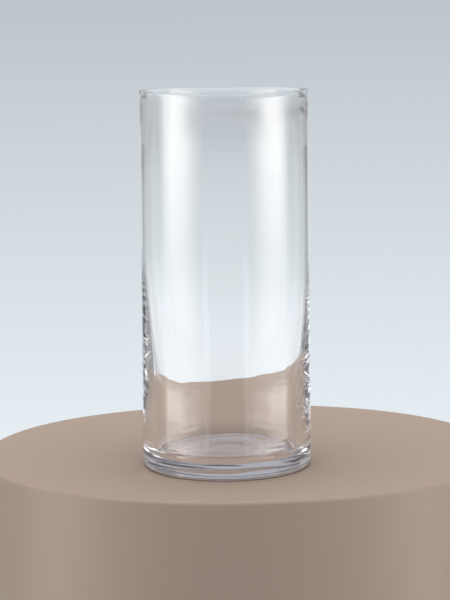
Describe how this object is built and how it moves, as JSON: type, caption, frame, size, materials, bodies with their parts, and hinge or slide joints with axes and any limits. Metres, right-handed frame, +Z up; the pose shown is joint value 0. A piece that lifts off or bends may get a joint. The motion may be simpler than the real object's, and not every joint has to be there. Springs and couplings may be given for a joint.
{
  "type": "cylinder vase",
  "caption": "Tall clear glass cylinder vase for cut flowers, with a heavy base, a flat-cut lip and an open mouth.",
  "frame": {"origin": "on the table, under the middle of the base, on the vase's own axis", "axes": "+Z up along the vase's axis towards the mouth; the vase is round, so X and Y are any two level directions"},
  "size_m": [0.1226, 0.1224, 0.27],
  "materials": {
    "clear_glass": "clear, glossy, polished"
  },
  "bodies": {
    "root": {"vase": "clear_glass"}
  },
  "joints": []
}
